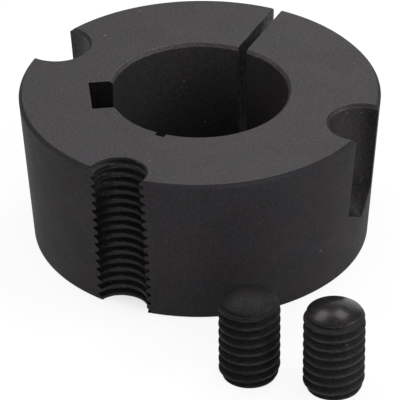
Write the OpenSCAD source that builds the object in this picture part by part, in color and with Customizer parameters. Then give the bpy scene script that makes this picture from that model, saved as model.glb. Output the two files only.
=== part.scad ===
// Split taper bush with its two domed socket set screws, which stand loose beside it.
// The bush stands on its small end. Its bore axis is Z, and its wall is split on the +Y side.
// Angles are anticlockwise from +X, seen from above. Lengths are in millimetres.

/* [Bush body] */
// Diameter of the large end, which is uppermost, before its edge is broken
large_end_d = 57.15; // [54:0.05:66]
// Length of the bush along its bore
bush_l = 25.4; // [22:0.1:40]
// Angle between the tapered side and the bore axis
taper_angle = 4; // [2:0.5:6]
// Width of the chamfer at the rim of the large end
rim_chamfer = 0.55; // [0.1:0.05:0.9]
// Width of the broken edge at the rim of the small end
edge_break = 0.4; // [0.1:0.1:0.8]

/* [Bore] */
// Diameter of the shaft bore
bore_d = 28; // [20:0.5:30]
// Width of the chamfer at each end of the bore
bore_chamfer = 0.5; // [0.3:0.1:1]
// Width of the keyway
keyway_w = 8; // [5:0.5:10]
// Depth of the keyway, from the top of the bore's curve
keyway_depth = 3.3; // [1.5:0.1:4]
// Direction of the keyway
keyway_angle = 213; // [200:1:240]

/* [Split] */
// Width of the saw cut through the wall
split_w = 1.6; // [1:0.1:3]
// Direction of the saw cut, which is nearly radial
split_angle = 92.5; // [88:0.5:94]
// How far the saw cut's middle plane passes from the bore axis, towards +X
split_offset = 1.05; // [0:0.05:2]
// Width of the relief groove in the bore, roughly opposite the split
relief_w = 1.6; // [1:0.1:3]
// Depth of the relief groove
relief_depth = 1.3; // [0.5:0.1:2]
// Direction of the relief groove
relief_angle = 273; // [268:0.5:280]

/* [Screw holes in the side] */
// Distance from the rim of the large end in to the centre of each half hole
hole_inset = 1.4; // [0.6:0.1:2.4]
// Angle from +Y, the side of the split, to each plain half hole
plain_hole_spread = 84.9; // [75:0.1:95]
// Diameter of the plain half holes, in which the screws push
plain_hole_d = 10.3; // [9.8:0.1:11]
// Depth of the plain half holes, down to the start of the drill point
plain_hole_depth = 14.5; // [12:0.1:16]
// Angle of the drill point at the bottom of the plain half holes
drill_point_angle = 118; // [90:1:140]
// Width of the chamfer at the mouth of the plain half holes
plain_hole_chamfer = 0.5; // [0.2:0.1:1]
// Direction of the tapped half hole
tapped_hole_angle = 270.6; // [268:0.1:272]
// Diameter of the tapping drill, which leaves the crests of the tapped half hole flat
tapping_drill_d = 7.94; // [7.7:0.02:8.2]
// Width of the chamfer at the mouth of the tapped half hole, out from the tapping drill's wall
tapped_hole_chamfer = 0.35; // [0.2:0.05:1.2]

/* [Thread] */
// Outside diameter of the screw thread
thread_d = 9.4; // [9:0.05:9.6]
// Distance from one turn to the next
thread_pitch = 1.5875; // [1.25:0.0125:1.75]
// Radial clearance between the screws and the tapped half hole
thread_clearance = 0.05; // [0:0.01:0.2]
// Turn of the thread in the tapped half hole about its axis
tapped_hole_turn = 345; // [0:5:355]

/* [Set screws] */
// Length of a set screw, from its socket end to the top of its dome
screw_l = 14.7; // [13:0.1:20]
// Diameter of the dome where it rises from the threaded part
dome_d = 8.4; // [7.6:0.1:8.6]
// Height of the dome
dome_h = 1.3; // [1:0.1:2.5]
// Length of the thread's chamfer below the dome
shoulder_l = 0.8; // [0.4:0.1:1.4]
// Width of the chamfer at the socket end
socket_end_chamfer = 0.6; // [0.4:0.1:1.1]
// Length of the chamfer at the socket end, along the screw
socket_end_chamfer_l = 1.2; // [0.4:0.1:2]
// Distance across the flats of the hexagon socket
socket_w = 4.76; // [4:0.01:5]
// Depth of the flats of the hexagon socket
socket_depth = 4.8; // [4:0.1:7]

/* [Where the screws stand] */
// Direction of the first screw from the bore axis
screw_1_angle = 307.3; // [300:0.1:310]
// Space between the rim of the bush and the first screw
screw_1_space = 8.6; // [5:0.1:12]
// Turn of the first screw about its own axis
screw_1_turn = 15; // [0:5:355]
// Direction of the second screw from the bore axis
screw_2_angle = 321.4; // [320:0.1:330]
// Space between the rim of the bush and the second screw
screw_2_space = 15.5; // [14:0.1:20]
// Turn of the second screw about its own axis
screw_2_turn = 30; // [0:5:355]

/* [Hidden] */
$fn = 96;
iron = [0.16, 0.16, 0.17];
screw_steel = [0.12, 0.12, 0.125];

split_side = 90; // direction of the wall that is split, midway between the plain half holes
over = 1; // how far a cutting shape runs past the face that it cuts
stem = 0.5; // how far the dome runs down inside the threaded part
land = 0.1; // height of the plain land between the thread and the dome
hole_circle_r = large_end_d / 2 - hole_inset;
small_end_d = large_end_d - 2 * bush_l * tan(taper_angle);
shoulder_z = screw_l - dome_h;
shoulder_step = (thread_d - dome_d) / 2;
dome_r = (pow(dome_d / 2, 2) + pow(dome_h, 2)) / (2 * dome_h);

// The thread form is a trapezium. Its corners stand at these shares of the pitch.
form = [0, 1 / 6, 1 / 2, 2 / 3];
form_lines = len(form);
thread_h = 0.64 * thread_pitch;
turn_steps = 24; // straight steps in one turn of the thread

// Radius of one line of the thread form: two lines at the root, then two at the crest
function line_r(line, crest_r) = line % form_lines < 2 ? crest_r - thread_h : crest_r;

// Height of one line of the thread form, after some steps round the turn
function line_z(line, step) =
    thread_pitch * (floor(line / form_lines) + form[line % form_lines] + step / turn_steps);

// A right-hand thread on its core. It runs past both ends of the length it is to be cut to.
module thread(crest_d, length) {
    lines = form_lines * (ceil(length / thread_pitch) + 4);
    last = turn_steps - 1;
    rims = [for (step = [0 : last], line = [0 : lines - 1])
        let (r = line_r(line, crest_d / 2), a = 360 * step / turn_steps)
            [r * cos(a), r * sin(a), line_z(line, step)]];
    low_centre = len(rims);
    high_centre = low_centre + 1;
    points = [each rims, [0, 0, line_z(0, 0)], [0, 0, line_z(lines - 1, last)]];
    // After the last step, each line meets the line that starts one turn higher
    sides = [for (step = [0 : last])
        let (closing = step == last)
            for (line = [0 : lines - 2 - (closing ? form_lines : 0)])
                let (a = step * lines + line, b = closing ? line + form_lines : a + lines)
                    each [[a, a + 1, b + 1], [a, b + 1, b]]];
    low = [for (step = [0 : last]) step * lines, for (line = [form_lines : -1 : 1]) line];
    high = [for (step = [0 : last]) (step + 1) * lines - 1,
        for (back = [2 : form_lines + 1]) turn_steps * lines - back];
    low_fan = [for (i = [0 : len(low) - 1]) [low_centre, low[i], low[(i + 1) % len(low)]]];
    high_fan = [for (i = [0 : len(high) - 1]) [high_centre, high[(i + 1) % len(high)], high[i]]];
    translate([0, 0, -1.5 * thread_pitch])
        polyhedron(points, [each sides, each low_fan, each high_fan]);
}

// The ring before it is cut: tapered side, bore, and the chamfered edges of both
module bush_blank() {
    outer_low = small_end_d / 2;
    outer_high = large_end_d / 2;
    inner = bore_d / 2;
    rotate_extrude()
        polygon([
            [inner + bore_chamfer, 0],
            [outer_low - edge_break, 0],
            [outer_low + edge_break * tan(taper_angle), edge_break],
            [outer_high - rim_chamfer * tan(taper_angle), bush_l - rim_chamfer],
            [outer_high - rim_chamfer, bush_l],
            [inner + bore_chamfer, bush_l],
            [inner, bush_l - bore_chamfer],
            [inner, bore_chamfer]
        ]);
}

// A slot along the whole bore, out to a radius. Its middle plane may pass beside the bore axis.
module slot(angle, width, outer_r, offset = 0) {
    rotate([0, 0, angle])
        translate([0, -width / 2 - offset, -over])
            cube([outer_r, width, bush_l + 2 * over]);
}

// Puts a shape on the circle of the half holes
module on_hole_circle(angle) {
    rotate([0, 0, angle])
        translate([hole_circle_r, 0, 0])
            children();
}

// A right-angled cone that chamfers the mouth of a hole. Its tip lies free inside the hole.
module countersink(mouth_d) {
    translate([0, 0, -mouth_d / 2])
        cylinder(d1 = 0, d2 = mouth_d + 2 * over, h = mouth_d / 2 + over);
}

// Drilled from the large end and left blind, with the drill's point at the bottom
module plain_hole() {
    point_h = plain_hole_d / 2 / tan(drill_point_angle / 2);
    translate([0, 0, bush_l - plain_hole_depth]) {
        cylinder(d = plain_hole_d, h = plain_hole_depth + over);
        translate([0, 0, -point_h])
            cylinder(d1 = 0, d2 = plain_hole_d, h = point_h);
    }
    translate([0, 0, bush_l])
        countersink(plain_hole_d + 2 * plain_hole_chamfer);
}

// Tapped from end to end, and countersunk at the large end only
module tapped_hole() {
    crest_d = thread_d + 2 * thread_clearance;
    intersection() {
        rotate([0, 0, tapped_hole_turn])
            thread(crest_d, bush_l);
        translate([0, 0, -over])
            cylinder(d = crest_d + over, h = bush_l + 2 * over);
    }
    translate([0, 0, -over])
        cylinder(d = tapping_drill_d, h = bush_l + 2 * over);
    translate([0, 0, bush_l])
        countersink(tapping_drill_d + 2 * tapped_hole_chamfer);
}

// The split bush: one piece of iron
module bush() {
    color(iron)
        difference() {
            bush_blank();
            slot(keyway_angle, keyway_w, bore_d / 2 + keyway_depth);
            slot(split_angle, split_w, large_end_d, split_offset);
            slot(relief_angle, relief_w, bore_d / 2 + relief_depth);
            on_hole_circle(split_side - plain_hole_spread)
                plain_hole();
            on_hole_circle(split_side + plain_hole_spread)
                plain_hole();
            on_hole_circle(tapped_hole_angle)
                tapped_hole();
        }
}

// The screw's outline without its thread or dome, chamfered at both ends. The upper chamfer runs on
// into the dome's stem.
module screw_blank() {
    rotate_extrude()
        polygon([
            [0, 0],
            [thread_d / 2 - socket_end_chamfer, 0],
            [thread_d / 2, socket_end_chamfer_l],
            [thread_d / 2, shoulder_z - land - shoulder_l],
            [dome_d / 2 - land * shoulder_step / shoulder_l, shoulder_z],
            [0, shoulder_z]
        ]);
}

// The domed point, with a short plain stem that runs down inside the thread
module dome() {
    intersection() {
        translate([0, 0, screw_l - dome_r])
            sphere(r = dome_r);
        translate([0, 0, shoulder_z - stem])
            cylinder(d = dome_d, h = dome_h + stem);
    }
}

// Hexagon socket with the cone of its pilot drill at the bottom
module socket() {
    translate([0, 0, -over])
        cylinder(d = socket_w / cos(30), h = socket_depth + over, $fn = 6);
    translate([0, 0, socket_depth])
        cylinder(d1 = socket_w, d2 = 0, h = socket_w / 2 / tan(drill_point_angle / 2));
}

// One set screw, standing on its socket end with its dome uppermost
module set_screw() {
    color(screw_steel)
        difference() {
            union() {
                intersection() {
                    thread(thread_d, screw_l);
                    screw_blank();
                }
                dome();
            }
            socket();
        }
}

// Stands a screw beside the bush
module beside_bush(angle, space, turn) {
    rotate([0, 0, angle])
        translate([large_end_d / 2 + space + thread_d / 2, 0, 0])
            rotate([0, 0, turn])
                children();
}

module set_screw_1() {
    beside_bush(screw_1_angle, screw_1_space, screw_1_turn)
        set_screw();
}

module set_screw_2() {
    beside_bush(screw_2_angle, screw_2_space, screw_2_turn)
        set_screw();
}

bush();
set_screw_1();
set_screw_2();
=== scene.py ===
# %% [markdown]
# # A taper bush and its set screws
# A taper bush locks a wheel to a shaft. It is a short split ring of iron: straight inside, tapered outside.
# Screws run in half holes along its side and wedge it into the wheel's hub. The CAD model is exact but
# plain. Here the bush and its screws are made again, in the same places, with the fine forms and the skin
# of the real ones.

# %% Load the CAD model
import math

import bmesh
import bpy
import numpy as np
from mathutils import Matrix, Vector


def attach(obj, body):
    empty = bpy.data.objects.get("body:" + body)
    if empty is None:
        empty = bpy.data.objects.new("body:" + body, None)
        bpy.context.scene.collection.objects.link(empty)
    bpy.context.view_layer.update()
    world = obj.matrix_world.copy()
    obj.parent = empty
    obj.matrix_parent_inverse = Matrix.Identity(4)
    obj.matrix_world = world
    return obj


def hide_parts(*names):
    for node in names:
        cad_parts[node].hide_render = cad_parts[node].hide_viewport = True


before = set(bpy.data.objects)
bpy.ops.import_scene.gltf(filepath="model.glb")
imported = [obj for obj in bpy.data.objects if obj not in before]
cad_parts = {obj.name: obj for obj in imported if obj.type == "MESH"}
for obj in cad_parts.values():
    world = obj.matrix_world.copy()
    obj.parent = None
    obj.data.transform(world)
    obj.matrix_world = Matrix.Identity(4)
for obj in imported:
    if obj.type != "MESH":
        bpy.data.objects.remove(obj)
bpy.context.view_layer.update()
MM = 0.001

# %% [markdown]
# ## Sizes
# The sizes are the drawing's own, in millimetres, with Z along the bore and the split towards +Y. Angles
# run anticlockwise from +X, seen from above. They could be measured on the CAD mesh, but a reader learns
# more from the numbers that a drawing would show, and they repeat the CAD source, so both models agree.

# %% Sizes of the bush
LARGE_END_R = 28.575
BUSH_L = 25.4
TAPER = math.radians(4)
RIM_CHAMFER, EDGE_BREAK = 0.55, 0.4
BORE_R = 14.0
BORE_CHAMFER = 0.5
KEYWAY_W, KEYWAY_DEPTH, KEYWAY_ANGLE = 8.0, 3.3, 213
SPLIT_W, SPLIT_ANGLE, SPLIT_OFFSET, SPLIT_SIDE = 1.6, 92.5, 1.05, 90
RELIEF_W, RELIEF_DEPTH, RELIEF_ANGLE = 1.6, 1.3, 273
HOLE_CIRCLE_R = LARGE_END_R - 1.4
PLAIN_SPREAD, PLAIN_R, PLAIN_DEPTH, PLAIN_CHAMFER = 84.9, 5.15, 14.5, 0.5
DRILL_POINT = math.radians(118 / 2)
SMALL_END_R = LARGE_END_R - BUSH_L * math.tan(TAPER)
print("small end diameter:", round(2 * SMALL_END_R, 2))

# %% [markdown]
# ### Thread and screws
# The screws have a 3/8 in thread of 16 turns an inch, which is 9.525 mm across and 1.5875 mm a turn. Their
# blanks were a little too thin for it, so the crests end at 9.4 mm. The half hole was tapped after a drill,
# and that leaves the crests of its thread flat in the same way.

# %% Sizes of the thread and the screws
THREAD_R, FULL_THREAD_R, PITCH = 4.7, 9.525 / 2, 1.5875
THREAD_CLEARANCE, TAPPING_DRILL_R, TAPPED_CHAMFER = 0.05, 3.97, 0.35
TAPPED_ANGLE, TAPPED_TURN = 270.6, 345
SCREW_L, DOME_R, DOME_H, SHOULDER_L = 14.7, 4.2, 1.3, 0.8
SOCKET_END_CHAMFER, SOCKET_END_CHAMFER_L = 0.6, 1.2
SOCKET_W, SOCKET_DEPTH = 4.76, 4.8
SCREWS = {"set_screw_1": (307.3, 8.6, 15), "set_screw_2": (321.4, 15.5, 30)}
for name, (angle, space, turn) in SCREWS.items():
    print(name, "stands at", angle, "degrees,", space, "mm from the bush, turned by", turn, "degrees")

# %% [markdown]
# ## Blackened metal
# The bush and its screws are blackened: a bath turns the skin of the iron into a thin black oxide. The skin
# is not one flat black. It has a fine grain from the iron beneath, soft warm and cool patches where the
# bath worked unevenly, pale specks of dust, and paler metal where an edge has been rubbed, which on the
# rounded edges of the bush is partly a painted highlight. Each of these effects is a node group, built once,
# and every finish below places them with its own values. Nodes could also be joined by hand in each
# material, but then every change would have to be made ten times.

# %% Node helpers
def new_group(name, inputs, outputs):
    """A shader node group with named sockets; inputs and outputs are (name, kind, value)."""
    group = bpy.data.node_groups.new(name, "ShaderNodeTree")
    for label, kind, value in inputs:
        made = group.interface.new_socket(name=label, in_out="INPUT", socket_type=kind)
        if value is not None:
            made.default_value = value
    for label, kind in outputs:
        group.interface.new_socket(name=label, in_out="OUTPUT", socket_type=kind)
    return group, group.nodes.new("NodeGroupInput"), group.nodes.new("NodeGroupOutput")


def place(tree, kind, **settings):
    """Adds a node; settings that name an input set it, and the others are the node's own properties."""
    node = tree.nodes.new(kind)
    for key, value in settings.items():
        label = key.replace("_", " ")
        if label in node.inputs:
            node.inputs[label].default_value = value
        else:
            setattr(node, key, value)
    return node


def calculate(tree, operation, first, second=None, third=None, clamp=False):
    """A Math node fed by sockets or numbers. Returns its output."""
    node = place(tree, "ShaderNodeMath", operation=operation, use_clamp=clamp)
    for socket, value in zip(node.inputs, (first, second, third)):
        if isinstance(value, bpy.types.NodeSocket):
            tree.links.new(value, socket)
        elif value is not None:
            socket.default_value = value
    return node.outputs[0]


def ramp(tree, value, low, high):
    """Stretches value so that low gives 0 and high gives 1, and nothing lies beyond."""
    node = place(tree, "ShaderNodeMapRange", clamp=True)
    node.inputs["From Min"].default_value = low
    node.inputs["From Max"].default_value = high
    tree.links.new(value, node.inputs["Value"])
    return node.outputs["Result"]


# %% [markdown]
# ### Metal grain
# The grain of the iron shows as light and dark points, a few tenths of a millimetre across. A noise texture
# at that size gives them. A picture of real metal would bring its own lamp's light, and it would blur close
# up.

# %% Group: metal grain
GRAIN_ENDS = (0.36, 0.64)


def build_grain():
    """Points of grain at a given size, from where a point of the surface lies."""
    group, given, put = new_group(
        "metal grain",
        [("Vector", "NodeSocketVector", None), ("Grains per metre", "NodeSocketFloat", 2600.0)],
        [("Grain", "NodeSocketFloat"), ("Height", "NodeSocketFloat"), ("Speckle", "NodeSocketColor")])
    fine = place(group, "ShaderNodeTexNoise", Detail=2.0, Roughness=0.6)
    group.links.new(given.outputs["Vector"], fine.inputs["Vector"])
    group.links.new(given.outputs["Grains per metre"], fine.inputs["Scale"])
    group.links.new(ramp(group, fine.outputs["Fac"], *GRAIN_ENDS), put.inputs["Grain"])
    group.links.new(fine.outputs["Fac"], put.inputs["Height"])
    group.links.new(fine.outputs["Color"], put.inputs["Speckle"])
    return group


GRAIN = build_grain()
print(GRAIN.name, [s.name for s in GRAIN.interface.items_tree])

# %% [markdown]
# ### Uneven blackening
# Stains of deeper black, and patches of warmer and cooler black, come from the bath and from old oil. They
# are some millimetres wide. One slow noise makes the stains: its distortion bends it, so that they don't
# look like clouds. A second noise, taken from another place, picks between warm and cool.

# %% Group: uneven blackening
STAIN_ENDS, TINT_ENDS = (0.3, 0.7), (0.35, 0.65)
TINT_SHIFT = (0.31, 0.17, 0.23)


def build_patches():
    """Two slow masks: where the black is stained, and whether it is warm or cool."""
    group, given, put = new_group(
        "uneven blackening",
        [("Vector", "NodeSocketVector", None), ("Patches per metre", "NodeSocketFloat", 140.0)],
        [("Patch", "NodeSocketFloat"), ("Tint", "NodeSocketFloat")])
    slow = place(group, "ShaderNodeTexNoise", Detail=4.0, Roughness=0.6, Distortion=0.6)
    tint = place(group, "ShaderNodeTexNoise", Detail=2.0, Roughness=0.5)
    shifted = place(group, "ShaderNodeVectorMath", operation="ADD")
    shifted.inputs[1].default_value = TINT_SHIFT
    group.links.new(given.outputs["Vector"], slow.inputs["Vector"])
    group.links.new(given.outputs["Vector"], shifted.inputs[0])
    group.links.new(shifted.outputs[0], tint.inputs["Vector"])
    group.links.new(given.outputs["Patches per metre"], slow.inputs["Scale"])
    group.links.new(given.outputs["Patches per metre"], tint.inputs["Scale"])
    group.links.new(ramp(group, slow.outputs["Fac"], *STAIN_ENDS), put.inputs["Patch"])
    group.links.new(ramp(group, tint.outputs["Fac"], *TINT_ENDS), put.inputs["Tint"])
    return group


PATCHES = build_patches()
print(PATCHES.name, [s.name for s in PATCHES.interface.items_tree])

# %% [markdown]
# ### Dust
# A few pale specks of dust lie on the black. Scattered meshes would be too many for such small things, so a
# Voronoi texture scatters one point in each of its cells. Only the close surroundings of a point count, and
# the random colour of its cell says whether the point is there at all, and how pale it is.

# %% Group: dust specks
SPECK_R = (0.06, 0.16)


def build_dust():
    """A mask of small specks; the share says how many cells of the texture have one."""
    group, given, put = new_group(
        "dust specks",
        [("Vector", "NodeSocketVector", None), ("Cells per metre", "NodeSocketFloat", 700.0),
         ("Share", "NodeSocketFloat", 0.3)],
        [("Dust", "NodeSocketFloat")])
    cells = place(group, "ShaderNodeTexVoronoi", Randomness=1.0)
    group.links.new(given.outputs["Vector"], cells.inputs["Vector"])
    group.links.new(given.outputs["Cells per metre"], cells.inputs["Scale"])
    spot = calculate(group, "SUBTRACT", 1.0, ramp(group, cells.outputs["Distance"], *SPECK_R))
    split = place(group, "ShaderNodeSeparateColor")
    group.links.new(cells.outputs["Color"], split.inputs[0])
    chosen = calculate(group, "LESS_THAN", split.outputs[0], given.outputs["Share"])
    strength = calculate(group, "MULTIPLY", chosen, split.outputs[1])
    group.links.new(calculate(group, "MULTIPLY", spot, strength), put.inputs["Dust"])
    return group


DUST = build_dust()
print(DUST.name, [s.name for s in DUST.interface.items_tree])

# %% [markdown]
# ### Rubbed edges
# Handling wears the black off the sharpest edges first. The rounded edges of the bush have a finish of
# their own, whose paler colour is partly this wear and partly a painted highlight, and the screws carry an
# attribute named rubbed, which is 1 on the crests of the thread. A noise breaks either up, so the wear comes
# and goes along an edge. With finer breaks, the same group gives the mottled look of the sawn split. A
# pointiness input finds edges without help, but only on dense meshes.

# %% Group: rubbed edge
BREAK_SLOPE = 6.0


def build_rub():
    """A mask of what is rubbed, on the bush's edges partly a painted highlight, from a mask of what could be.
    """
    group, given, put = new_group(
        "rubbed edge and painted highlight",
        [("Vector", "NodeSocketVector", None), ("Edge", "NodeSocketFloat", 0.0),
         ("Breaks per metre", "NodeSocketFloat", 260.0), ("Least", "NodeSocketFloat", 0.42)],
        [("Rub", "NodeSocketFloat")])
    broken = place(group, "ShaderNodeTexNoise", Detail=3.0, Roughness=0.65)
    group.links.new(given.outputs["Vector"], broken.inputs["Vector"])
    group.links.new(given.outputs["Breaks per metre"], broken.inputs["Scale"])
    above = calculate(group, "SUBTRACT", broken.outputs["Fac"], given.outputs["Least"])
    kept = calculate(group, "MULTIPLY", above, BREAK_SLOPE, clamp=True)
    group.links.new(calculate(group, "MULTIPLY", kept, given.outputs["Edge"]), put.inputs["Rub"])
    return group


RUB = build_rub()
print(RUB.name, [s.name for s in RUB.interface.items_tree])

# %% [markdown]
# ### Tool lines
# A lathe leaves fine rings on the ends, and fine hoops on the taper and in the bore. All of them are lines
# of equal distance: from the axis on an end, and from the end face on a wall. The group takes that distance
# and gives the height of the lines, by a noise in one dimension. A Wave texture was the other way, but its
# lines are all alike.

# %% Group: tool lines
def build_tool_lines():
    """The height of fine lines along a distance."""
    group, given, put = new_group(
        "tool lines",
        [("Distance", "NodeSocketFloat", 0.0), ("Lines per metre", "NodeSocketFloat", 5000.0)],
        [("Height", "NodeSocketFloat")])
    ripple = place(group, "ShaderNodeTexNoise", noise_dimensions="1D", Detail=2.0, Roughness=0.6)
    group.links.new(given.outputs["Distance"], ripple.inputs["W"])
    group.links.new(given.outputs["Lines per metre"], ripple.inputs["Scale"])
    group.links.new(ripple.outputs["Fac"], put.inputs["Height"])
    return group


TOOL_LINES = build_tool_lines()
print(TOOL_LINES.name, [s.name for s in TOOL_LINES.interface.items_tree])

# %% [markdown]
# ## The finishes
# Every finish is the same blackened metal with its own base colour, sheen and tool marks, built up in
# layers: the black skin, the rubbed places, the dust, and the small bumps. The black is an oxide and not
# bare metal, so Metallic is 0, and the soft sheen comes from the roughness. One material with masks for
# every part was the other way, but then no finish could be changed by itself.

# %% Helpers for the layers
# A Mix node also has sockets for numbers and vectors, so its colour sockets are taken by their places.
COLOUR_A, COLOUR_B, COLOUR_OUT = 6, 7, 2


def mixed(tree, factor, first, second, blend="MIX"):
    """A colour mix fed by sockets, numbers or colours. Returns its output."""
    node = place(tree, "ShaderNodeMix", data_type="RGBA", blend_type=blend)
    if isinstance(factor, bpy.types.NodeSocket):
        tree.links.new(factor, node.inputs["Factor"])
    else:
        node.inputs["Factor"].default_value = factor
    for socket, value in ((node.inputs[COLOUR_A], first), (node.inputs[COLOUR_B], second)):
        if isinstance(value, bpy.types.NodeSocket):
            tree.links.new(value, socket)
        else:
            socket.default_value = (*value, 1)
    return node.outputs[COLOUR_OUT]


def grouped(tree, group, vector=None, **values):
    """Places a shared group in a material."""
    node = tree.nodes.new("ShaderNodeGroup")
    node.node_tree = group
    for key, value in values.items():
        label = key.replace("_", " ")
        if isinstance(value, bpy.types.NodeSocket):
            tree.links.new(value, node.inputs[label])
        else:
            node.inputs[label].default_value = value
    if vector is not None:
        tree.links.new(vector, node.inputs["Vector"])
    return node


def tinted(colour, factors):
    """A colour times one factor each for red, green and blue."""
    return tuple(part * factor for part, factor in zip(colour, factors))


# %% [markdown]
# ### The black skin
# The colour of a finish is worked over in four steps: warm or cool by the tint, darker in the stains,
# lighter on the points of the grain, and last a speckle of colour. One noise could drive all four, but then
# they would always fall on the same spots. The grain's share is a value of the finish, because it shows
# strongly on the end face and much less on the turned side.

# %% Layer: black skin
WARM_CAST, COOL_CAST = (1.16, 0.97, 1.03), (0.90, 1.00, 1.02)
STAIN_SHADE, STAIN_SHARE = 0.72, 0.5
GRAIN_LIGHT, SPECKLE_SHARE = 2.6, 0.75


def black_skin(tree, black, grain, grains, patches):
    """The colour of the skin, from the values of one finish and its two groups."""
    tone = mixed(tree, patches.outputs["Tint"], tinted(black, COOL_CAST), tinted(black, WARM_CAST))
    stain = calculate(tree, "MULTIPLY", patches.outputs["Patch"], STAIN_SHARE)
    tone = mixed(tree, stain, tone, tinted(black, [STAIN_SHADE] * 3))
    light = calculate(tree, "MULTIPLY", grains.outputs["Grain"], grain)
    tone = mixed(tree, light, tone, tinted(black, [GRAIN_LIGHT] * 3))
    return mixed(tree, SPECKLE_SHARE * grain, tone, grains.outputs["Speckle"], "MULTIPLY")


print("a full stain leaves", 1 - STAIN_SHARE * (1 - STAIN_SHADE), "of the black, and a point of the grain",
      "lightens it up to", GRAIN_LIGHT, "times")

# %% [markdown]
# ### Rubbed places
# Rubbed metal is paler and smoother than the skin. How much of it shows differs: much on the edges of the
# bush, where the paler colour is partly a painted highlight, and only a trace on the crests of the screws and
# on the sawn walls. The black skin and the rubbed metal could be two shaders in a mix, but mixing the colours
# gives the same with a single shader.

# %% Layer: rubbed places
# The worn colour is bare metal; on the rounded edges of the bush it is partly a painted highlight.
WORN_AND_HIGHLIGHT = (0.22, 0.20, 0.188)
WORN_SMOOTHER = 0.15
WEAR_AND_HIGHLIGHT = {"edges": 0.7, "crests": 0.035, "sawn": 0.06}
BREAKS = {"edges": 260.0, "crests": 260.0, "sawn": 900.0}


def rubbed_places(tree, where, rubbed):
    """The mask of what is rubbed, on the bush's edges partly a painted highlight: all of the finish, or only
    the crests of a thread, broken up by noise.
    """
    edge = 1.0
    if rubbed == "crests":
        edge = place(tree, "ShaderNodeAttribute", attribute_name="rubbed").outputs["Fac"]
    return grouped(tree, RUB, where, Edge=edge, Breaks_per_metre=BREAKS[rubbed]).outputs["Rub"]


print("share of bare metal:", WEAR_AND_HIGHLIGHT)

# %% [markdown]
# ### Small bumps
# Two Bump nodes follow each other: the first takes the grain, and the second lays the tool lines over it.
# Real lines that shallow would need millions of faces, and a normal map would have to be painted.

# %% Layer: small bumps
GRAIN_BUMP = 0.35
BUMP_DEPTH = 0.02 * MM


def small_bumps(tree, where, grains, lines, line_height):
    """The normal of the surface. Lines are None, ends or wall."""
    bump = place(tree, "ShaderNodeBump", Strength=GRAIN_BUMP, Distance=BUMP_DEPTH)
    tree.links.new(grains.outputs["Height"], bump.inputs["Height"])
    if lines is None:
        return bump.outputs["Normal"]
    split = place(tree, "ShaderNodeSeparateXYZ")
    tree.links.new(where, split.inputs[0])
    distance = split.outputs["Z"]
    if lines == "ends":
        x_square = calculate(tree, "POWER", split.outputs["X"], 2.0)
        y_square = calculate(tree, "POWER", split.outputs["Y"], 2.0)
        distance = calculate(tree, "SQRT", calculate(tree, "ADD", x_square, y_square))
    marks = grouped(tree, TOOL_LINES, Distance=distance)
    over = place(tree, "ShaderNodeBump", Strength=line_height, Distance=BUMP_DEPTH)
    tree.links.new(marks.outputs["Height"], over.inputs["Height"])
    tree.links.new(bump.outputs["Normal"], over.inputs["Normal"])
    return over.outputs["Normal"]


print("bumps are at most", BUMP_DEPTH / MM, "mm deep")

# %% [markdown]
# ### One finish
# The function puts the layers together. The sheen and its tint are the same all over a finish, so they are
# set on the shader itself. The roughness varies a little with the stains, and is less where metal is rubbed
# and on the dome of a screw. Ten materials joined by hand could differ more, but a function keeps them
# alike.

# %% Blackened finish
SHEEN_TINT = (1.0, 0.93, 0.98, 1)
ROUGH_SPREAD = 0.1
DUST_COLOUR, DUST_SHARE = (0.34, 0.29, 0.24), 0.5


def blackened(name, black, rough, sheen, lines=None, line_height=0.0, grain=0.8, dust=0.04,
              dust_cells=700.0, rubbed=None, domed=0.0):
    """A blackened finish. Lines are None, ends or wall, and rubbed is None or a name in WEAR_AND_HIGHLIGHT.
    Domed says how much smoother the dome of a screw is than its thread."""
    material = bpy.data.materials.new(name)
    material.use_nodes = True
    material.diffuse_color = (*black, 1)
    tree = material.node_tree
    shader = tree.nodes["Principled BSDF"]
    shader.inputs["Metallic"].default_value = 0.0
    shader.inputs["Specular IOR Level"].default_value = sheen
    shader.inputs["Specular Tint"].default_value = SHEEN_TINT
    where = place(tree, "ShaderNodeTexCoord").outputs["Object"]
    grains = grouped(tree, GRAIN, where)
    patches = grouped(tree, PATCHES, where)
    specks = grouped(tree, DUST, where, Share=dust, Cells_per_metre=dust_cells)
    tone = black_skin(tree, black, grain, grains, patches)
    roughness = calculate(tree, "MULTIPLY_ADD", patches.outputs["Patch"], ROUGH_SPREAD,
                          rough - ROUGH_SPREAD / 2)
    if rubbed:
        # Rubbed places take the pale worn colour, which on the bush's rounded edges is partly a painted
        # highlight.
        wear = rubbed_places(tree, where, rubbed)
        tone = mixed(tree, calculate(tree, "MULTIPLY", wear, WEAR_AND_HIGHLIGHT[rubbed]), tone, WORN_AND_HIGHLIGHT)
        roughness = calculate(tree, "SUBTRACT", roughness, calculate(tree, "MULTIPLY", wear, WORN_SMOOTHER))
    if domed:
        dome = place(tree, "ShaderNodeAttribute", attribute_name="dome").outputs["Fac"]
        roughness = calculate(tree, "SUBTRACT", roughness, calculate(tree, "MULTIPLY", dome, domed))
    lying = calculate(tree, "MULTIPLY", specks.outputs["Dust"], DUST_SHARE)
    tree.links.new(mixed(tree, lying, tone, DUST_COLOUR), shader.inputs["Base Color"])
    tree.links.new(roughness, shader.inputs["Roughness"])
    tree.links.new(small_bumps(tree, where, grains, lines, line_height), shader.inputs["Normal"])
    return material
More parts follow.
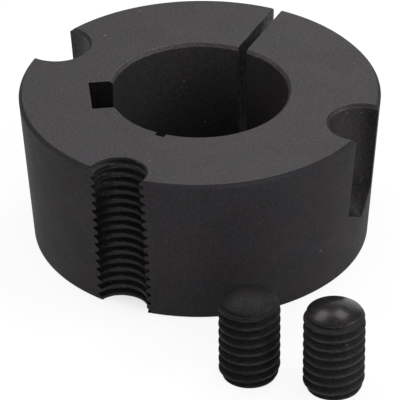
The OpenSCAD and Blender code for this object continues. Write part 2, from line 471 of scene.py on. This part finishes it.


# %% [markdown]
# ### The finishes by name
# The end face was turned and catches the most light, and its grain is strong. The turned side is duller.
# Drilled walls hold dust. What was sawn or slotted, and the cut thread, have nearly black base colours: this
# is painted shade, because little light gets in there. The paler rounded edges are partly a painted
# highlight.
# One of the screws is dull all over, and the dome of the other one shines. Measured values of such metal
# could be looked up. These were found by trying, until each face came close to the same face in the
# photograph.

# %% The finishes by name
END_FACE = blackened("blackened end face", (0.0162, 0.0152, 0.0166), 0.55, 0.34, "ends", 0.15, grain=1.0)
TAPER_SIDE = blackened("blackened taper", (0.0148, 0.0138, 0.0149), 0.64, 0.12, "wall", 0.3, grain=0.35)
BORE_WALL = blackened("blackened bore", (0.0202, 0.0192, 0.0205), 0.5, 0.2, "wall", 0.3, grain=0.4)
HOLE_WALL = blackened("blackened holes", (0.0098, 0.0092, 0.0095), 0.5, 0.25, grain=1.0, dust=0.9,
                      dust_cells=1400.0)
# The cut thread has a darker base colour than the drilled holes: painted shade, because little light gets
# into the thread.
THREAD_WALL_PAINTED_SHADE = blackened("blackened cut thread, painted shade", (0.0058, 0.0054, 0.0055), 0.45, 0.22, grain=1.0,
                        dust=0.4, dust_cells=1400.0)
# The slots and the saw cut have nearly black base colours: painted shade, because little light gets into
# them.
SLOT_WALL_PAINTED_SHADE = blackened("blackened slots, painted shade", (0.0042, 0.0040, 0.0041), 0.55, 0.1)
SAWN_WALL_PAINTED_SHADE = blackened("blackened saw cut, painted shade", (0.0044, 0.0041, 0.0042), 0.5, 0.12, rubbed="sawn")
# The rounded edges are paler: partly rubbed metal and partly a painted highlight.
ROUND_EDGE_WORN_AND_HIGHLIT = blackened("rubbed edge and painted highlight", (0.022, 0.0207, 0.0213), 0.45, 0.25, rubbed="edges")
DULL_SCREW = blackened("dull blackened screw", (0.0068, 0.0064, 0.0066), 0.7, 0.12, dust=0.06,
                       rubbed="crests", domed=0.15)
SMOOTH_SCREW = blackened("smooth blackened screw", (0.0086, 0.0081, 0.0084), 0.66, 0.18,
                         rubbed="crests", domed=0.4)
print("finishes:", [m.name for m in bpy.data.materials])

# %% [markdown]
# ## The bush blank
# The bush starts as a turned ring, and so does its mesh: one closed profile, spun round the axis. The
# keyway, split, groove and holes are then cut with boolean tools, as the real ones are cut from the blank.
# Blender's own Screw modifier spins a profile too. A few lines of Python do the same here, and also say
# which finish each span of the profile has.

# %% Turn the blank
def new_object(name, points, faces, materials=()):
    """A mesh object from points in millimetres."""
    mesh = bpy.data.meshes.new(name)
    mesh.from_pydata([tuple(p) for p in np.asarray(points) * MM], [], faces)
    for material in materials:
        mesh.materials.append(material)
    thing = bpy.data.objects.new(name, mesh)
    bpy.context.scene.collection.objects.link(thing)
    return thing


def turned_ring(name, profile, columns, materials, finishes):
    """Spins a closed profile of (radius, height) round Z; finishes names each span's material."""
    angles = np.linspace(0, 2 * np.pi, columns, endpoint=False)
    points = [(r * math.cos(a), r * math.sin(a), z) for a in angles for r, z in profile]
    spans = len(profile)
    faces = []
    for j in range(columns):
        here, there = j * spans, (j + 1) % columns * spans
        faces += [(here + i, there + i, there + (i + 1) % spans, here + (i + 1) % spans)
                  for i in range(spans)]
    ring = new_object(name, points, faces, materials)
    for face in ring.data.polygons:
        face.material_index = materials.index(finishes[face.index % spans])
    return ring


FINISHES = [END_FACE, TAPER_SIDE, BORE_WALL, HOLE_WALL, SLOT_WALL_PAINTED_SHADE, SAWN_WALL_PAINTED_SHADE, THREAD_WALL_PAINTED_SHADE, ROUND_EDGE_WORN_AND_HIGHLIT]
SLOPE = math.tan(TAPER)
PROFILE = [
    (BORE_R + BORE_CHAMFER, 0), (SMALL_END_R - EDGE_BREAK, 0), (SMALL_END_R + EDGE_BREAK * SLOPE, EDGE_BREAK),
    (LARGE_END_R - RIM_CHAMFER * SLOPE, BUSH_L - RIM_CHAMFER), (LARGE_END_R - RIM_CHAMFER, BUSH_L),
    (BORE_R + BORE_CHAMFER, BUSH_L), (BORE_R, BUSH_L - BORE_CHAMFER), (BORE_R, BORE_CHAMFER)]
SPAN_FINISHES = [END_FACE, TAPER_SIDE, TAPER_SIDE, TAPER_SIDE, END_FACE, END_FACE, BORE_WALL, END_FACE]
BLANK_COLUMNS = 288
bush = turned_ring("bush_iron", PROFILE, BLANK_COLUMNS, FINISHES, SPAN_FINISHES)
print("blank:", len(bush.data.polygons), "faces")

# %% [markdown]
# ## From rings to solids
# Drills, screws and threaded rods are round, so each is a grid of rings: one row of points for each height,
# one column for each angle. Blender's own cylinder would do for a drill, but not for a thread. Rings keep
# the faces even, and each ring can follow the thread.

# %% Solid from rings
def ring_solid(name, radius, height, angles, materials=(), centre=(0, 0)):
    """A closed solid from rings of radius[row, column] at height[row, column], with a point at each end."""
    rows, columns = radius.shape
    around_z = np.radians(angles)[None, :]
    x = centre[0] + radius * np.cos(around_z)
    y = centre[1] + radius * np.sin(around_z)
    points = np.stack([x, y, height], -1).reshape(-1, 3)
    ends = [(centre[0], centre[1], height[0].mean()), (centre[0], centre[1], height[-1].mean())]
    low, high = rows * columns, rows * columns + 1
    faces = []
    for j in range(columns):
        k = (j + 1) % columns
        faces.append((low, k, j))
        faces.append((high, (rows - 1) * columns + j, (rows - 1) * columns + k))
        faces += [(i * columns + j, i * columns + k, (i + 1) * columns + k, (i + 1) * columns + j)
                  for i in range(rows - 1)]
    return new_object(name, np.vstack([points, ends]), faces, materials)


# %% [markdown]
# ## The cutters
# Each cutter is the shape of what the tool takes away. All of them run a little past the faces they cut,
# because two faces in one plane confuse a boolean. A plain half hole is drilled, so its cutter is a drill:
# a rod with a cone for a point, and a wider mouth for the chamfer.

# %% Cutter: plain hole
OVER = 1.0
DRILL_TIP_R = 0.05
DRILL_COLUMNS = np.arange(0, 360, 5) + 2.5


def around(angle, radius):
    """The place at an angle (degrees) and a radius from the bore axis."""
    return radius * math.cos(math.radians(angle)), radius * math.sin(math.radians(angle))


def plain_hole(name, angle):
    """Drill with its point, and the chamfer at the mouth."""
    point_z = BUSH_L - PLAIN_DEPTH
    tip_z = point_z - PLAIN_R / math.tan(DRILL_POINT)
    rings = [(DRILL_TIP_R, tip_z + DRILL_TIP_R / math.tan(DRILL_POINT)), (PLAIN_R, point_z),
             (PLAIN_R, BUSH_L - PLAIN_CHAMFER), (PLAIN_R + PLAIN_CHAMFER + OVER, BUSH_L + OVER)]
    radius = np.array([[r] * len(DRILL_COLUMNS) for r, z in rings])
    height = np.array([[z] * len(DRILL_COLUMNS) for r, z in rings])
    return ring_solid(name, radius, height, DRILL_COLUMNS, [HOLE_WALL], around(angle, HOLE_CIRCLE_R))


print("the drill's point reaches", round(PLAIN_DEPTH + PLAIN_R / math.tan(DRILL_POINT), 2), "mm deep")

# %% [markdown]
# ### The thread form
# This thread has flanks that meet at 55 degrees, with round crests and roots. A place along the pitch gives
# the radius, so one short function draws the thread of the screws and of the half hole. A curve swept along
# a helix could do it too, but a function of angle and height never crosses itself, and it fades out by
# itself where a chamfer cuts it.

# %% Thread form
FLANK = math.radians(55 / 2)
ROUND_R = 0.137329
THREAD_DEPTH = 0.64033
CAD_PHASE = 1.5 - 7 / 12


def thread_height(share):
    """Height of the thread above its root, in pitches; share is the place in the pitch, 0 on the crest."""
    x = np.abs((share + 0.5) % 1 - 0.5)
    reach = ROUND_R * math.cos(FLANK)
    arc = THREAD_DEPTH / 2 - ROUND_R
    crest = arc + np.sqrt(np.maximum(ROUND_R**2 - x**2, 0))
    root = -arc - np.sqrt(np.maximum(ROUND_R**2 - (0.5 - x) ** 2, 0))
    flank = (0.25 - x) / math.tan(FLANK)
    return np.where(x < reach, crest, np.where(x > 0.5 - reach, root, flank)) + THREAD_DEPTH / 2


def thread_radius(angle, z, crest_r, turn):
    """Radius of a right-hand thread at an angle (degrees) and height, in step with the CAD model's."""
    share = z / PITCH + CAD_PHASE - (angle - turn) / 360
    return crest_r - (THREAD_DEPTH - thread_height(share)) * PITCH


print("depth of the thread in mm:", round(THREAD_DEPTH * PITCH, 3))

# %% [markdown]
# ### The tap
# The tapped half hole is drilled, countersunk and then tapped. Its cutter is a threaded rod whose radius is
# nowhere less than the drill's, nor less than the countersink's at the mouth. Three cutters one after the
# other would give the same, but the faces of a thread and a cone cross in slivers.

# %% Cutter: tapped hole
THREAD_COLUMNS = np.arange(0, 360, 3.75)
TAP_RING_STEP = 0.1


def tapped_hole(name, angle):
    """Threaded rod, widened by a right-angled countersink at the large end."""
    crest_r = THREAD_R + THREAD_CLEARANCE
    z = np.arange(-OVER, BUSH_L + OVER + TAP_RING_STEP / 2, TAP_RING_STEP)
    height = np.repeat(z[:, None], len(THREAD_COLUMNS), 1)
    radius = thread_radius(THREAD_COLUMNS[None, :], height, crest_r, angle + TAPPED_TURN)
    wall = np.maximum(TAPPING_DRILL_R, TAPPING_DRILL_R + TAPPED_CHAMFER - (BUSH_L - height))
    rod = ring_solid(name, np.maximum(radius, wall), height, THREAD_COLUMNS, [THREAD_WALL_PAINTED_SHADE, HOLE_WALL],
                     around(angle, HOLE_CIRCLE_R))
    for face in rod.data.polygons:
        # The thread below the countersink takes the darker finish, whose base colour is painted shade.
        face.material_index = int(face.center.z > (BUSH_L - TAPPED_CHAMFER) * MM)
    return rod


print("turns of thread in the half hole:", round(BUSH_L / PITCH, 2))

# %% [markdown]
# ### The slots
# The keyway and the relief groove are cut along the bore, and the split is sawn right through the wall. The
# groove is narrow, and lets the wall bend when the bush closes on its shaft. The split is not quite radial:
# its middle passes the bore axis at a small offset. All three could be drawn into one plan and pulled up,
# but a box for each keeps their sizes and directions apart.

# %% All the cutters
SLOT_START_R = 1.0


def box_solid(name, angle, x0, x1, width, z0, z1, materials=(), offset=0.0):
    """A box from x0 to x1 along a direction, whose middle passes the bore axis at an offset to the right."""
    east, north = math.cos(math.radians(angle)), math.sin(math.radians(angle))
    turn = np.array([[east, -north, 0], [north, east, 0], [0, 0, 1]])
    corners = [(x, y, z) for z in (z0, z1) for x, y in
               ((x0, -width / 2), (x1, -width / 2), (x1, width / 2), (x0, width / 2))]
    corners = np.array(corners) - (0, offset, 0)
    faces = [(3, 2, 1, 0), (4, 5, 6, 7), (0, 1, 5, 4), (1, 2, 6, 5), (2, 3, 7, 6), (3, 0, 4, 7)]
    return new_object(name, corners @ turn.T, faces, materials)


def slot(name, angle, width, outer_r, offset=0.0, finish=SLOT_WALL_PAINTED_SHADE):
    """A box that starts inside the bore and cuts outwards along one direction."""
    return box_solid(name, angle, SLOT_START_R, outer_r, width, -OVER, BUSH_L + OVER, [finish], offset)


# The keyway, groove and split cutters carry the slot and saw-cut finishes, whose dark base colours are
# painted shade.
CUTTERS = [
    slot("keyway_cutter", KEYWAY_ANGLE, KEYWAY_W, BORE_R + KEYWAY_DEPTH),
    slot("split_cutter", SPLIT_ANGLE, SPLIT_W, LARGE_END_R + OVER, SPLIT_OFFSET, SAWN_WALL_PAINTED_SHADE),
    slot("relief_cutter", RELIEF_ANGLE, RELIEF_W, BORE_R + RELIEF_DEPTH),
    plain_hole("hole_cutter_1", SPLIT_SIDE + PLAIN_SPREAD),
    plain_hole("hole_cutter_2", SPLIT_SIDE - PLAIN_SPREAD),
    tapped_hole("thread_cutter", TAPPED_ANGLE)]
print("cutters:", [c.name for c in CUTTERS])

# %% [markdown]
# ## Cutting
# A boolean modifier takes each cutter away from the bush. The exact solver is slower than the fast one, but
# it keeps the faces of the thread whole. Material mode Transfer gives each cut wall the finish of its
# cutter, so no wall has to be found and painted afterwards.

# %% Cut the bush
def applied(thing):
    """Replaces an object's mesh by the one its modifiers give."""
    graph = bpy.context.evaluated_depsgraph_get()
    graph.update()
    mesh = bpy.data.meshes.new_from_object(thing.evaluated_get(graph))
    thing.modifiers.clear()
    thing.data = mesh


for cutter in CUTTERS:
    cut = bush.modifiers.new(cutter.name, "BOOLEAN")
    cut.object = cutter
    cut.operation = "DIFFERENCE"
    cut.solver = "EXACT"
    cut.material_mode = "TRANSFER"
    applied(bush)
    bpy.data.objects.remove(cutter)
print("cut bush:", len(bush.data.polygons), "faces", [m.name for m in bush.data.materials])

# %% [markdown]
# ## Rounded edges
# No real edge is perfectly sharp. On this bush the edges are about a tenth of a millimetre round, and that
# thin curve catches the light. The sharp edges get a weight here, and a bevel rounds what has a weight. A
# bevel by angle alone would also round the thread, whose own edges are finer than the bevel. Points that
# the cuts left very close to a corner are first drawn into the corner, because a bevel can't be wider than
# its shortest edge.

# %% Find the sharp edges
EDGE_ROUND = 0.13
SHORT_EDGE = 2.2 * EDGE_ROUND
SHARP = math.radians(28)
SAME_POINT = 0.002
THREAD_MARGIN = 0.6


def in_thread(point):
    """True in the tapped hole and a little round it."""
    x, y = around(TAPPED_ANGLE, HOLE_CIRCLE_R)
    return math.hypot(point.x / MM - x, point.y / MM - y) < THREAD_R + THREAD_MARGIN


def is_sharp(edge):
    """True where two faces meet at more than the sharp angle."""
    return len(edge.link_faces) == 2 and edge.calc_face_angle(0) > SHARP


def is_corner(vert):
    """True where at least three sharp edges meet."""
    return sum(is_sharp(e) for e in vert.link_edges) > 2


def clean_and_weigh(thing):
    """Draws very short edges together and marks the sharp ones. Returns how many of each."""
    work = bmesh.new()
    work.from_mesh(thing.data)
    bmesh.ops.remove_doubles(work, verts=work.verts, dist=SAME_POINT * MM)
    drawn = {}
    for edge in work.edges:
        one, other = edge.verts
        if edge.calc_length() < SHORT_EDGE * MM and not in_thread(one.co) and not in_thread(other.co):
            if one in drawn or other in drawn or one in drawn.values() and other in drawn.values():
                continue
            keep, lose = (one, other) if is_corner(one) else (other, one)
            if not is_corner(lose) and lose not in drawn.values():
                drawn[lose] = keep
    bmesh.ops.weld_verts(work, targetmap=drawn)
    layers = work.edges.layers.float
    weight = layers.get("bevel_weight_edge") or layers.new("bevel_weight_edge")
    marked = 0
    for edge in work.edges:
        if is_sharp(edge) and not any(in_thread(v.co) for v in edge.verts):
            edge[weight] = 1.0
            marked += 1
    work.to_mesh(thing.data)
    work.free()
    return len(drawn), marked


print("points drawn in and edges marked:", clean_and_weigh(bush))

# %% [markdown]
# ### The bevel
# The bevel gives its new faces the rubbed finish, whose paler colour is partly wear and partly a painted
# highlight. Two kinds of edge are not rubbed and get their wall's finish back, with no painted highlight:
# the outer rims, which are as black as the side, and the edges inside the bore, where no hand reaches. The
# wear could also be painted by hand, but two short rules do the same again after a change.

# %% Round the edges of the bush
NEAR_RIM, NEAR_BORE = 1.5 * EDGE_ROUND, 2 * EDGE_ROUND
bevel_finish = FINISHES.index(ROUND_EDGE_WORN_AND_HIGHLIT)
bevel = bush.modifiers.new("rounded edges", "BEVEL")
bevel.width = EDGE_ROUND * MM
bevel.segments = 2
bevel.limit_method = "WEIGHT"
bevel.use_clamp_overlap = True
# The bevel faces take the rubbed edge finish, whose paler colour is partly a painted highlight.
bevel.material = bevel_finish
bevel.miter_outer = "MITER_ARC"
applied(bush)


def on_rim(point):
    """True on the outer rim of either end."""
    reach = math.hypot(point.x, point.y) / MM
    corners = (PROFILE[1], PROFILE[2], PROFILE[3], PROFILE[4])
    return any(math.hypot(reach - r, point.z / MM - z) < NEAR_RIM for r, z in corners)


def in_bore(point):
    """True on the wall of the bore, below its mouth."""
    mouth_z = BUSH_L - 2 * BORE_CHAMFER
    return math.hypot(point.x, point.y) / MM < BORE_R + NEAR_BORE and point.z / MM < mouth_z


# Rims and the bore's edges lose the rubbed finish, and with it the painted highlight.
unrubbed = 0
for face in bush.data.polygons:
    if face.material_index == bevel_finish and (on_rim(face.center) or in_bore(face.center)):
        face.material_index = FINISHES.index(TAPER_SIDE if on_rim(face.center) else BORE_WALL)
        unrubbed += 1
print("bush:", len(bush.data.polygons), "faces, of which", unrubbed, "are rounded edges that are not rubbed")

# %% [markdown]
# ## Smooth walls
# The walls are made of flat faces, and smooth shading hides that. Many more faces would hide it too, but
# would take far more memory. The smooth shading stops at every edge that turns by more than a limit, so
# that the corners stay crisp. Weighted normals let the large faces decide, which keeps them looking flat
# right up to their rounded edges.

# %% Smooth the walls
def smooth_walls(thing, limit=math.radians(35)):
    """Smooth shading, broken where two faces meet at more than the limit."""
    work = bmesh.new()
    work.from_mesh(thing.data)
    for face in work.faces:
        face.smooth = True
    for edge in work.edges:
        edge.smooth = len(edge.link_faces) == 2 and edge.calc_face_angle(0) < limit
    work.to_mesh(thing.data)
    work.free()
    weighted = thing.modifiers.new("even shading", "WEIGHTED_NORMAL")
    weighted.keep_sharp = True


smooth_walls(bush)
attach(bush, "root")
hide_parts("bush")
print("bush covers", [round(d / MM, 2) for d in bush.dimensions], "mm")

# %% [markdown]
# ## The set screws
# Each screw is one grid of rings, from the middle of its socket, over the flat end, up the thread and over
# the dome. It could be put together from a rod, a thread and a ball by booleans, but one grid has no seams.
# The socket comes first: a cone from the pilot drill, and rings that follow a hexagon.

# %% Rings of the socket
MIDDLE, LIP, SOCKET_BREAK = 0.02, 0.98, 0.12
SOCKET_HEIGHTS = (SOCKET_DEPTH - 0.05, 4.0, 3.0, 2.0, 1.0, 0.3)


def socket_rings(turn):
    """Radius and height of the rings from the middle of the socket's bottom out to the flat end."""
    corner = np.radians((THREAD_COLUMNS - turn) % 60 - 30)
    hexagon = SOCKET_W / 2 / np.cos(corner)
    cone = SOCKET_W / 2 / math.tan(DRILL_POINT)
    rings = [(MIDDLE * hexagon, SOCKET_DEPTH + LIP * cone), (LIP * hexagon, SOCKET_DEPTH)]
    rings += [(hexagon, z) for z in SOCKET_HEIGHTS]
    return rings + [(hexagon + k, SOCKET_BREAK - k) for k in (0.0, SOCKET_BREAK / 2, SOCKET_BREAK)]


print("the socket is", SOCKET_W, "mm wide and", SOCKET_DEPTH, "mm deep")

# %% [markdown]
# ### Thread and dome
# At each point of the thread the radius is the smaller of the full thread's and the blank's, which is how a
# die cuts a blank that is a little too thin for full crests. The step from one to the other is rounded, as
# metal flows. Under the dome the thread runs out into a plain stem.

# %% Rings of the thread and the dome
SCREW_RING_STEP, TINY = 0.08, 0.001
CREST_ROUND = 0.12
STEM_R, STEM_L, STEM_FADE = DOME_R - 0.02, 0.5, 0.25
DOME_RINGS, LAST_ANGLE = 26, 0.02
SHOULDER_Z = SCREW_L - DOME_H


def least(first, second, soften):
    """The smaller of two radii, with the change from one to the other rounded."""
    share = np.clip(0.5 + 0.5 * (second - first) / soften, 0, 1)
    return second + (first - second) * share - soften * share * (1 - share)


def thread_rings(turn):
    """Radius and height of the rings from the flat end to the foot of the dome."""
    z = np.arange(0, SHOULDER_Z + TINY, SCREW_RING_STEP)
    blank = np.minimum(THREAD_R - SOCKET_END_CHAMFER * (1 - z / SOCKET_END_CHAMFER_L), THREAD_R)
    blank = np.minimum(blank, DOME_R + (THREAD_R - DOME_R) * (SHOULDER_Z - z) / SHOULDER_L)
    height = np.repeat(z[:, None], len(THREAD_COLUMNS), 1)
    thread = thread_radius(THREAD_COLUMNS[None, :], height, FULL_THREAD_R, turn)
    radius = least(thread, np.repeat(blank[:, None], len(THREAD_COLUMNS), 1), CREST_ROUND)
    stem = np.clip((z - (SHOULDER_Z - STEM_L)) / STEM_FADE, 0, 1)[:, None]
    return np.maximum(radius, stem * STEM_R), height


def dome_rings():
    """Radius and height of the rings over the dome, which is the cap of a ball."""
    ball = (DOME_R**2 + DOME_H**2) / (2 * DOME_H)
    reach = math.asin(DOME_R / ball)
    return [(ball * math.sin(t), SCREW_L - ball + ball * math.cos(t))
            for t in np.linspace(reach, LAST_ANGLE, DOME_RINGS)[1:]]


print("rings from flat end to dome:", len(thread_rings(0)[0]), "and over it:", len(dome_rings()))

# %% [markdown]
# ### The whole screw
# The rings are stacked into one grid. Two masks go with it as attributes of the points: where the crests
# may be rubbed, and where the dome is. A material can read an attribute at any size, and it moves with the
# mesh.

# %% Set screws
CREST_BAND, CREST_FADE, DOME_FADE = 0.1, 0.08, 0.1
SCREW_SHARP = math.radians(50)


def screw_grid(turn):
    """Radius and height of every ring, from the bottom of the socket to the top of the dome."""
    whole = 0 * THREAD_COLUMNS
    radius, height = thread_rings(turn)
    socket, dome = socket_rings(turn), dome_rings()
    radius = np.vstack([[r + whole for r, _ in socket], radius, [r + whole for r, _ in dome]])
    height = np.vstack([[z + whole for _, z in socket], height, [z + whole for _, z in dome]])
    return radius, height


def set_screw(node, angle, space, turn, finish):
    """One set screw at its place beside the bush."""
    radius, height = screw_grid(angle + turn)
    centre = around(angle, LARGE_END_R + space + THREAD_R)
    screw = ring_solid(node + "_steel", radius, height, THREAD_COLUMNS, [finish], centre)
    masks = {"rubbed": np.clip((radius - (THREAD_R - CREST_BAND)) / CREST_FADE, 0, 1),
             "dome": np.clip((height - (SCREW_L - DOME_H - DOME_FADE / 2)) / DOME_FADE, 0, 1)}
    for mask, values in masks.items():
        layer = screw.data.attributes.new(mask, "FLOAT", "POINT")
        layer.data.foreach_set("value", np.append(values.ravel(), values[[0, -1], 0]).astype(np.float32))
    smooth_walls(screw, SCREW_SHARP)
    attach(screw, "root")
    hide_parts(node)
    return screw


for (node, (angle, space, turn)), finish in zip(SCREWS.items(), (DULL_SCREW, SMOOTH_SCREW)):
    made = set_screw(node, angle, space, turn, finish)
    print(made.name, len(made.data.polygons), "faces", [round(d / MM, 2) for d in made.dimensions], "mm")

# %% [markdown]
# ## The table
# The bush stands on something pale and plain that shows nearly white, with only a soft shadow. A white
# plane alone would turn grey where the lamps don't reach. So most of what the camera and mirror-like rays
# see of the table is a glow, and the rest is the plain surface, which keeps the shadow. Little light gets
# down the bore. There the glow is left out, and for every ray but the camera's the table is a darker grey,
# so that it doesn't light the wall from below.

# %% Table
HALF_TABLE = 1.2
PALE, SHADED = (0.86, 0.86, 0.86), (0.25, 0.25, 0.25)
GLOW_SHARE = 0.88


def build_table():
    """The plane that everything stands on, with its glow for the camera and for mirror-like rays."""
    half = HALF_TABLE / MM
    table = new_object("table", [(-half, -half, 0), (half, -half, 0), (half, half, 0), (-half, half, 0)],
                       [(0, 1, 2, 3)])
    material = bpy.data.materials.new("pale table")
    material.use_nodes = True
    tree = material.node_tree
    shader = tree.nodes["Principled BSDF"]
    shader.inputs["Roughness"].default_value = 0.9
    shader.inputs["Specular IOR Level"].default_value = 0.0
    glow = place(tree, "ShaderNodeEmission", Strength=1.0)
    path = place(tree, "ShaderNodeLightPath")
    seen = path.outputs["Is Camera Ray"]
    for mirror in ("Is Glossy Ray", "Is Transmission Ray"):
        seen = calculate(tree, "MAXIMUM", seen, path.outputs[mirror])
    where = place(tree, "ShaderNodeTexCoord").outputs["Object"]
    away = place(tree, "ShaderNodeVectorMath", operation="LENGTH")
    tree.links.new(where, away.inputs[0])
    open_table = ramp(tree, away.outputs["Value"], BORE_R * MM, SMALL_END_R * MM)
    seen_or_open = calculate(tree, "MAXIMUM", open_table, path.outputs["Is Camera Ray"])
    tree.links.new(mixed(tree, seen_or_open, SHADED, PALE), shader.inputs["Base Color"])
    mix = place(tree, "ShaderNodeMixShader")
    share = calculate(tree, "MULTIPLY", seen, calculate(tree, "MULTIPLY", open_table, GLOW_SHARE))
    tree.links.new(share, mix.inputs[0])
    tree.links.new(shader.outputs[0], mix.inputs[1])
    tree.links.new(glow.outputs[0], mix.inputs[2])
    tree.links.new(mix.outputs[0], tree.nodes["Material Output"].inputs["Surface"])
    table.data.materials.append(material)


build_table()
print("table:", 2 * HALF_TABLE, "m wide, and the glow is", GLOW_SHARE, "of what the camera sees of it")

# %% [markdown]
# ## The surroundings
# Behind everything the photograph is white, and the dark metal still has soft shades all round. One white
# world would give both, but it would light the metal far too much. So the camera sees a white world, and
# the metal is lit by the same white at about a third of the strength.

# %% World
SKY_STRENGTH = 0.35


def build_world(strength):
    """White for the camera, and the same white at another strength for everything else."""
    world = bpy.data.worlds.new("studio")
    bpy.context.scene.world = world
    world.use_nodes = True
    tree = world.node_tree
    back = tree.nodes["Background"]
    back.inputs["Color"].default_value = (1, 1, 1, 1)
    back.inputs["Strength"].default_value = strength
    white = place(tree, "ShaderNodeBackground", Strength=1.0)
    white.inputs["Color"].default_value = (1, 1, 1, 1)
    path = place(tree, "ShaderNodeLightPath")
    mix = place(tree, "ShaderNodeMixShader")
    tree.links.new(path.outputs["Is Camera Ray"], mix.inputs[0])
    tree.links.new(back.outputs[0], mix.inputs[1])
    tree.links.new(white.outputs[0], mix.inputs[2])
    tree.links.new(mix.outputs[0], tree.nodes["World Output"].inputs["Surface"])


build_world(SKY_STRENGTH)
print("light from all sides:", SKY_STRENGTH)

# %% [markdown]
# ## The lamps
# Two spots and a bright rim on the smooth dome show where three lights stood: high on the left, high on the
# right and low at the back. Three more, on the left, in front and on the right, light the side and the
# bore. Broad square lamps keep every highlight soft, as a softbox does. Small lamps would draw hard
# shadows.

# %% Lamps
AIM = Vector((0, 0, 12 * MM))


def soft_lamp(name, azimuth, elevation, distance, size, watts):
    """A square lamp that faces the bush; azimuth 0 is on the -Y side, as for the camera."""
    light = bpy.data.lights.new(name, "AREA")
    light.shape = "SQUARE"
    light.size = size
    light.energy = watts
    lamp = bpy.data.objects.new(name, light)
    round_angle, height_angle = math.radians(azimuth), math.radians(elevation)
    level = math.cos(height_angle)
    away = Vector((math.sin(round_angle) * level, -math.cos(round_angle) * level, math.sin(height_angle)))
    lamp.location = away * distance + AIM
    lamp.rotation_mode = "QUATERNION"
    lamp.rotation_quaternion = away.to_track_quat("Z", "Y")
    bpy.context.scene.collection.objects.link(lamp)
    print(name, "at", [round(v, 2) for v in lamp.location], "gives", watts, "W")


soft_lamp("high left lamp", -106, 62, 0.55, 0.24, 1.15)
soft_lamp("high right lamp", 168, 66, 0.55, 0.2, 1.05)
soft_lamp("back lamp", 189, 18, 0.6, 0.4, 0.6)
soft_lamp("front left lamp", -50, 30, 0.6, 0.3, 0.7)
soft_lamp("front lamp", 50, 20, 0.6, 0.4, 1.6)
soft_lamp("right lamp", 105, 36, 0.6, 0.3, 1.6)

# %% [markdown]
# ## The camera
# A long lens far away gave the photograph its flat perspective. A camera could be set by eye, but then
# nothing could be measured through it. So its place was fitted to the outline of the bush: 577 mm from a
# point near the middle of the bush, 33 degrees above the table, and 27.5 degrees round from the -Y side.

# %% Camera
AZIMUTH, ELEVATION, ROLL = math.radians(27.5), 0.573516, -0.009565
DISTANCE, FOCUS_PIXELS, FRAME_PIXELS = 577.27, 3593.0, 400
TARGET = (-0.1245, 0, 4.587)
SENSOR = 36
target = Matrix.Rotation(AZIMUTH, 3, "Z") @ Vector(TARGET)
level = math.cos(ELEVATION)
back = Vector((math.sin(AZIMUTH) * level, -math.cos(AZIMUTH) * level, math.sin(ELEVATION)))
right = Vector((math.cos(AZIMUTH), math.sin(AZIMUTH), 0))
up = back.cross(right)
right, up = (math.cos(ROLL) * right + math.sin(ROLL) * up, math.cos(ROLL) * up - math.sin(ROLL) * right)
camera = bpy.data.objects.new("camera", bpy.data.cameras.new("camera"))
bpy.context.scene.collection.objects.link(camera)
turned = Matrix((right, up, back)).transposed().to_4x4()
camera.matrix_world = Matrix.Translation((target + DISTANCE * back) * MM) @ turned
camera.data.sensor_width = SENSOR
camera.data.lens = SENSOR * FOCUS_PIXELS / FRAME_PIXELS
camera.data.clip_start, camera.data.clip_end = 0.05, 10
bpy.context.scene.camera = camera
bpy.context.scene.view_settings.view_transform = "Standard"
print("lens:", round(camera.data.lens, 1), "mm")
